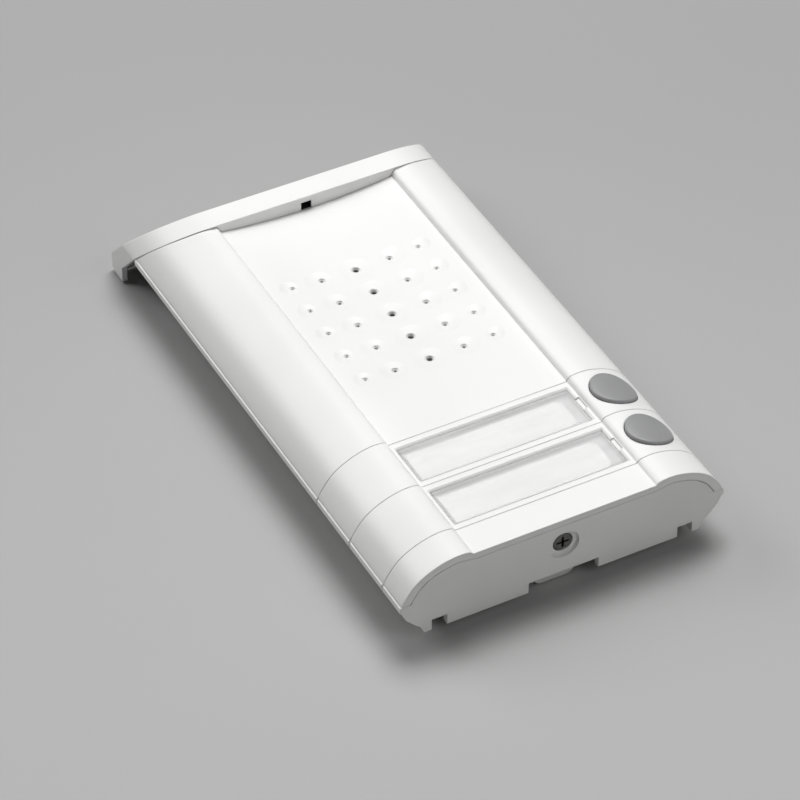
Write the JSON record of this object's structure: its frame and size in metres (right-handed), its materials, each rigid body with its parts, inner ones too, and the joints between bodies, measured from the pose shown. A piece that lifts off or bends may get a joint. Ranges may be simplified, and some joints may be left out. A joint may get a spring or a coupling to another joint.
{
  "type": "intercom door station",
  "caption": "Surface mounted intercom door station with a dished grille panel between curved wings, a rain hood, lit name strips and round call buttons.",
  "frame": {"origin": "middle of the overall footprint, on the wall plane at the back", "axes": "+Z out of the wall, +Y up the wall towards the hood, +X to the right seen from the front"},
  "size_m": [0.1006, 0.1826, 0.0297],
  "materials": {
    "warm_white_shell": "fine satin texture, warm white",
    "rear_plastic": "matte white",
    "button_plastic": "satin mid grey",
    "clear_plastic": "clear, polished",
    "diffuser_plastic": "milky",
    "label_paper": "smooth white",
    "zinc_steel": "zinc plated",
    "screw_steel": "darkened steel",
    "black_rubber": "matte",
    "terminal_plastic": "matte green",
    "contact_metal": "bright",
    "board_laminate": "solder resist",
    "led_plastic": "clear resin",
    "chip_plastic": "matte black",
    "can_aluminium": "satin",
    "socket_nylon": "natural nylon",
    "magnet_steel": "zinc plated",
    "basket_steel": "zinc plated",
    "cone_film": "thin film",
    "lead_insulation": "smooth",
    "capsule_aluminium": "satin"
  },
  "bodies": {
    "wall_base": {"mounting_plate": "rear_plastic", "cable_grommet": "black_rubber", "terminal_block": "terminal_plastic", "terminal_clamps": "contact_metal", "terminal_screws": "zinc_steel", "contact_pads": "contact_metal"},
    "housing": {"rear_housing": "rear_plastic", "front_panel": "warm_white_shell", "bottom_strip": "warm_white_shell", "hood": "warm_white_shell", "hood_screws": "zinc_steel", "microphone_boot": "black_rubber", "microphone_capsule": "capsule_aluminium", "circuit_board": "board_laminate", "board_screws": "zinc_steel", "contact_pins": "contact_metal", "backlight_leds": "led_plastic", "amplifier_chip": "chip_plastic", "capacitors": "can_aluminium", "lead_sockets": "socket_nylon", "volume_trimmer_body": "chip_plastic", "speaker_basket": "basket_steel", "speaker_magnet": "magnet_steel", "speaker_cone": "cone_film", "speaker_gasket": "black_rubber", "speaker_leads": "lead_insulation", "microphone_lead": "lead_insulation", "fixing_nut": "zinc_steel", "call_module_frame_1": "warm_white_shell", "label_diffuser_1": "diffuser_plastic", "name_label_1": "label_paper", "switch_body_1": "chip_plastic", "call_module_frame_2": "warm_white_shell", "label_diffuser_2": "diffuser_plastic", "name_label_2": "label_paper", "switch_body_2": "chip_plastic"},
    "fixing_screw": {"fixing_screw": "screw_steel"},
    "trimmer_rotor": {"volume_trimmer_rotor": "socket_nylon"},
    "button_1": {"call_button_1": "button_plastic"},
    "plunger_1": {"switch_plunger_1": "socket_nylon"},
    "cover_1": {"name_cover_1": "clear_plastic"},
    "button_2": {"call_button_2": "button_plastic"},
    "plunger_2": {"switch_plunger_2": "socket_nylon"},
    "cover_2": {"name_cover_2": "clear_plastic"}
  },
  "joints": [
    {"name": "housing_swing", "type": "hinge", "parent": "wall_base", "child": "housing", "pos_m": [0, 0.08857, 0.0008], "axis": [-1, 0, 0], "range_deg": [0, 25]},
    {"name": "fixing_screw_turn", "type": "hinge", "parent": "housing", "child": "fixing_screw", "pos_m": [0, -0.08925, 0.0169], "axis": [0, -1, 0], "continuous": true},
    {"name": "volume_trimmer_turn", "type": "hinge", "parent": "housing", "child": "trimmer_rotor", "pos_m": [0.014, -0.02925, 0.0167], "axis": [0, 0, 1], "range_deg": [-135, 135]},
    {"name": "call_button_1_press", "type": "slide", "parent": "housing", "child": "button_1", "axis": [0, 0, -1], "range_m": [0, 0.0008], "stiffness_N_per_m": 600, "springref_m": -0.0015},
    {"name": "switch_1_press", "type": "slide", "parent": "housing", "child": "plunger_1", "axis": [0, 0, -1], "range_m": [0, 0.0008]},
    {"name": "name_cover_1_lift", "type": "hinge", "parent": "housing", "child": "cover_1", "pos_m": [-0.0274, -0.0524, 0.0252], "axis": [0, -1, 0], "range_deg": [0, 25]},
    {"name": "call_button_2_press", "type": "slide", "parent": "housing", "child": "button_2", "axis": [0, 0, -1], "range_m": [0, 0.0008], "stiffness_N_per_m": 600, "springref_m": -0.0015},
    {"name": "switch_2_press", "type": "slide", "parent": "housing", "child": "plunger_2", "axis": [0, 0, -1], "range_m": [0, 0.0008]},
    {"name": "name_cover_2_lift", "type": "hinge", "parent": "housing", "child": "cover_2", "pos_m": [-0.0274, -0.0715, 0.0252], "axis": [0, -1, 0], "range_deg": [0, 25]}
  ],
  "couplings": [
    {"joint": "switch_1_press", "follows": "call_button_1_press", "ratio": 1},
    {"joint": "switch_2_press", "follows": "call_button_2_press", "ratio": 1}
  ]
}
